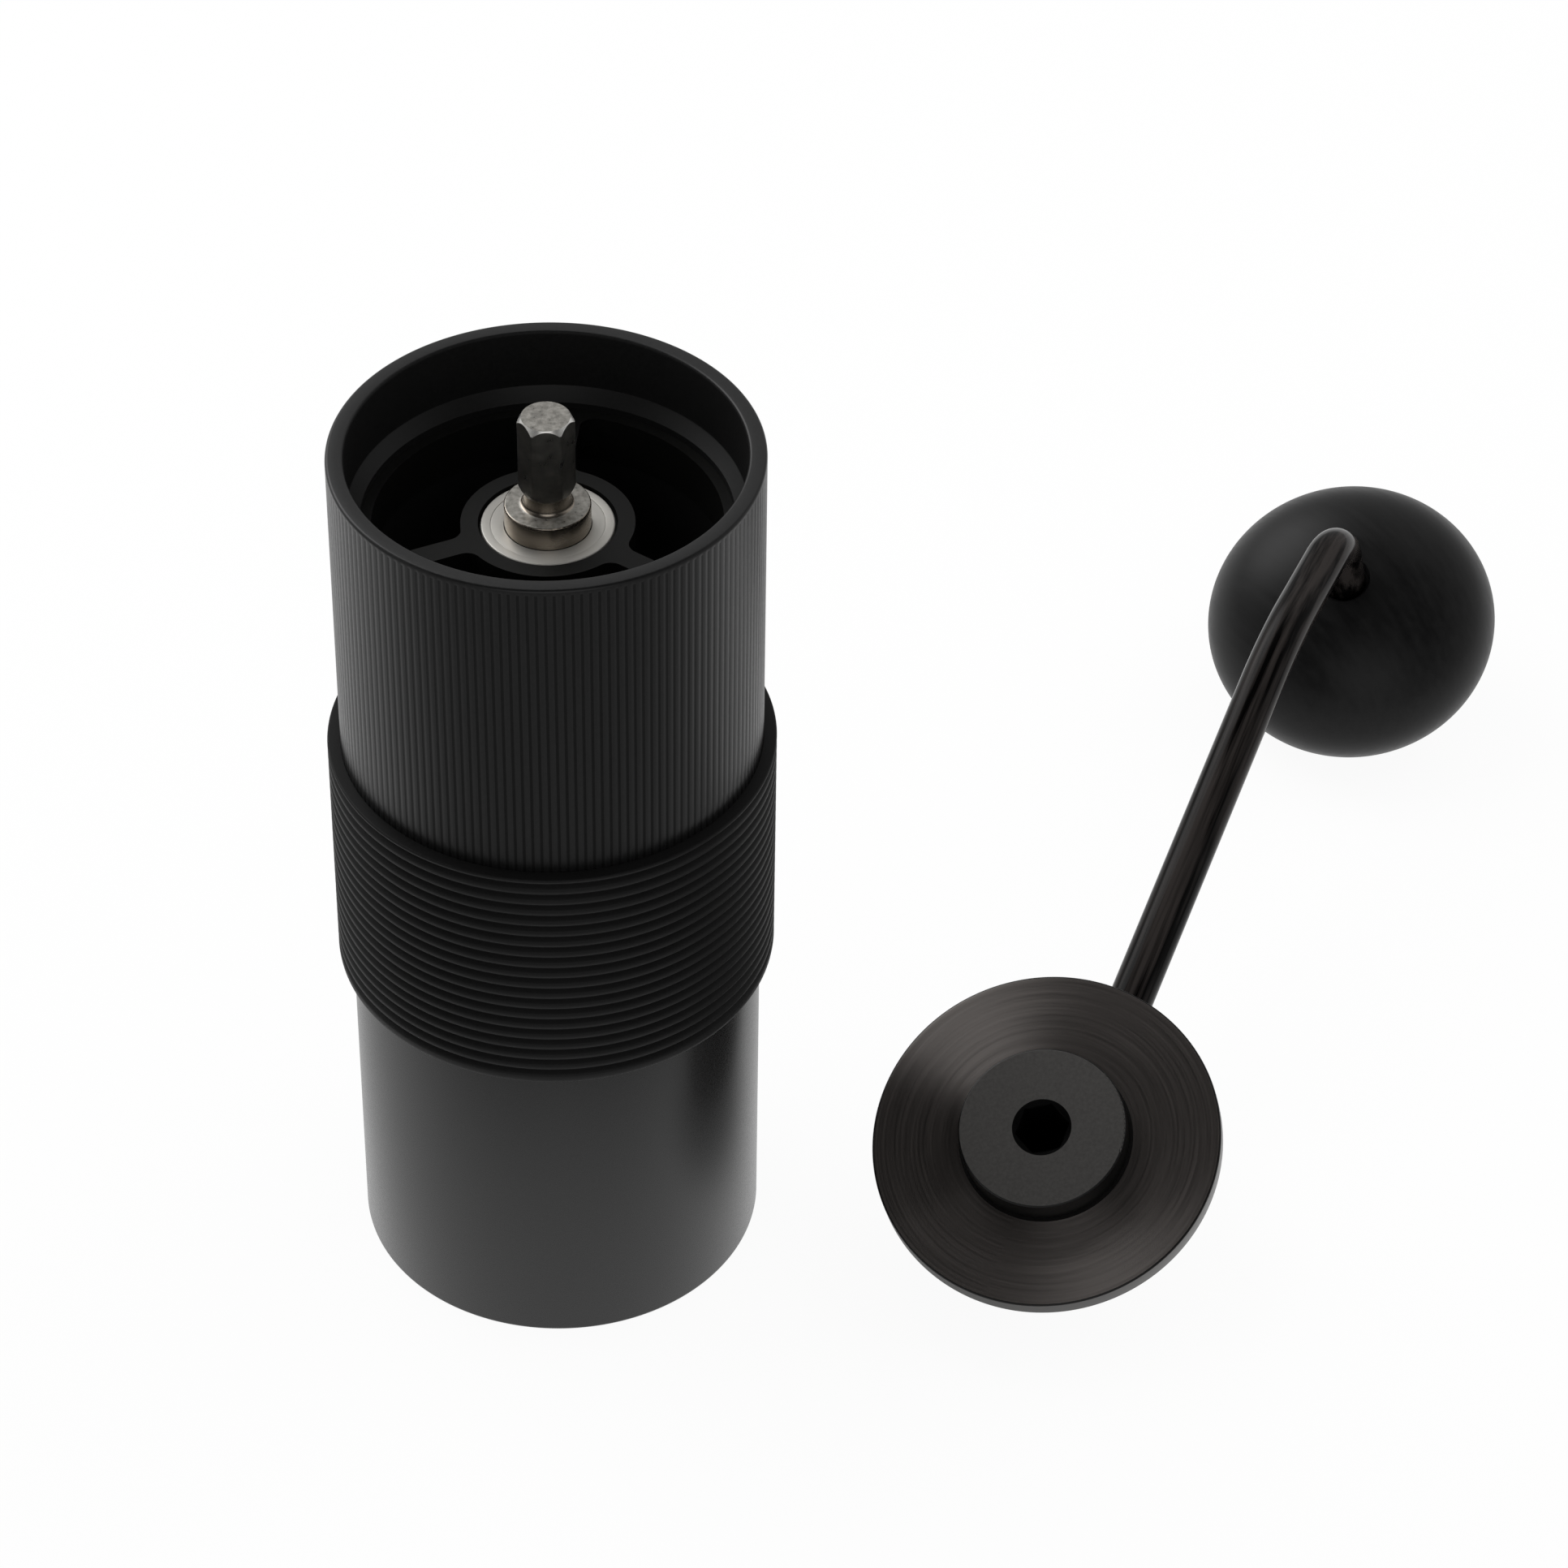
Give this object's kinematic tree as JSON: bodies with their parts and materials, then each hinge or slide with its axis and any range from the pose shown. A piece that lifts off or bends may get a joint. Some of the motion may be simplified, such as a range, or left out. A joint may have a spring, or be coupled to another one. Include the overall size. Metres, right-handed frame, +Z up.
{
  "type": "hand crank coffee grinder",
  "caption": "Cylindrical hand coffee grinder with ribbed grip and screw-on catch cup, open at the mouth, its lid with bent crank arm and knob lying beside it.",
  "frame": {"origin": "centre of the catch cup's underside, on the grinder's axis at table level", "axes": "+Z up along the grinder's axis; the crank lies on the +X side with its knob towards +Y"},
  "size_m": [0.1648, 0.1488, 0.1282],
  "materials": {
    "cup_anodised": "satin black anodised",
    "body_anodised": "satin black anodised",
    "grip_rubber": "matte",
    "bracket_black": "matte black anodised",
    "bearing_steel": "ground",
    "shield_steel": "plain",
    "burr_steel": "machined",
    "shaft_steel": "machined",
    "spring_steel": "plain",
    "dial_anodised": "satin black anodised",
    "lid_anodised": "lathe turned black anodised",
    "hub_black": "matte black",
    "arm_black": "gloss black",
    "fastener_steel": "plain",
    "knob_black": "matte",
    "bush_bronze": "plain"
  },
  "bodies": {
    "cup": {"catch_cup": "cup_anodised"},
    "housing": {"housing_tube": "body_anodised", "grip_sleeve": "grip_rubber", "upper_bracket": "bracket_black", "lower_bracket": "bracket_black", "upper_bearing_outer_race": "bearing_steel", "upper_bearing_balls": "bearing_steel", "upper_bearing_shields": "shield_steel", "lower_bearing_outer_race": "bearing_steel", "lower_bearing_balls": "bearing_steel", "lower_bearing_shields": "shield_steel", "outer_burr": "burr_steel", "burr_retaining_ring": "bracket_black"},
    "drive": {"drive_shaft": "shaft_steel", "upper_bearing_inner_race": "bearing_steel", "lower_bearing_inner_race": "bearing_steel", "shaft_circlip": "spring_steel", "spring_washer": "spring_steel", "burr_spring": "spring_steel"},
    "burr": {"inner_burr": "burr_steel", "click_plate": "spring_steel"},
    "dial": {"adjuster_dial": "dial_anodised", "detent_balls": "bearing_steel"},
    "crank": {"crank_lid": "lid_anodised", "crank_hub": "hub_black", "lid_retaining_ring": "spring_steel", "crank_arm": "arm_black", "arm_grub_screw": "fastener_steel", "spindle_collar": "fastener_steel", "knob_washer": "fastener_steel", "knob_screw": "fastener_steel"},
    "knob": {"knob_grip": "knob_black", "knob_bush": "bush_bronze", "knob_cap": "knob_black"}
  },
  "joints": [
    {"name": "housing_lift", "type": "slide", "parent": "cup", "child": "housing", "axis": [0, 0, 1], "range_m": [0, 0.07]},
    {"name": "shaft_spin", "type": "hinge", "parent": "housing", "child": "drive", "pos_m": [0, 0, 0.1], "axis": [0, 0, 1], "continuous": true},
    {"name": "burr_adjust", "type": "slide", "parent": "drive", "child": "burr", "axis": [0, 0, 1], "range_m": [-0.002, 0], "deforming": ["burr_spring"]},
    {"name": "dial_turn", "type": "hinge", "parent": "burr", "child": "dial", "pos_m": [0, 0, 0.038], "axis": [0, 0, 1], "range_deg": [0, 720]},
    {"name": "crank_lift", "type": "slide", "parent": "cup", "child": "crank", "axis": [0, 0, 1], "range_m": [0, 0.15]},
    {"name": "knob_spin", "type": "hinge", "parent": "crank", "child": "knob", "pos_m": [0.1166, 0.09532, 0.01606], "axis": [0.1971, 0.3936, -0.8979], "continuous": true}
  ],
  "couplings": [
    {"joint": "dial_turn", "follows": "burr_adjust", "rad_per_m": -6283.2}
  ]
}
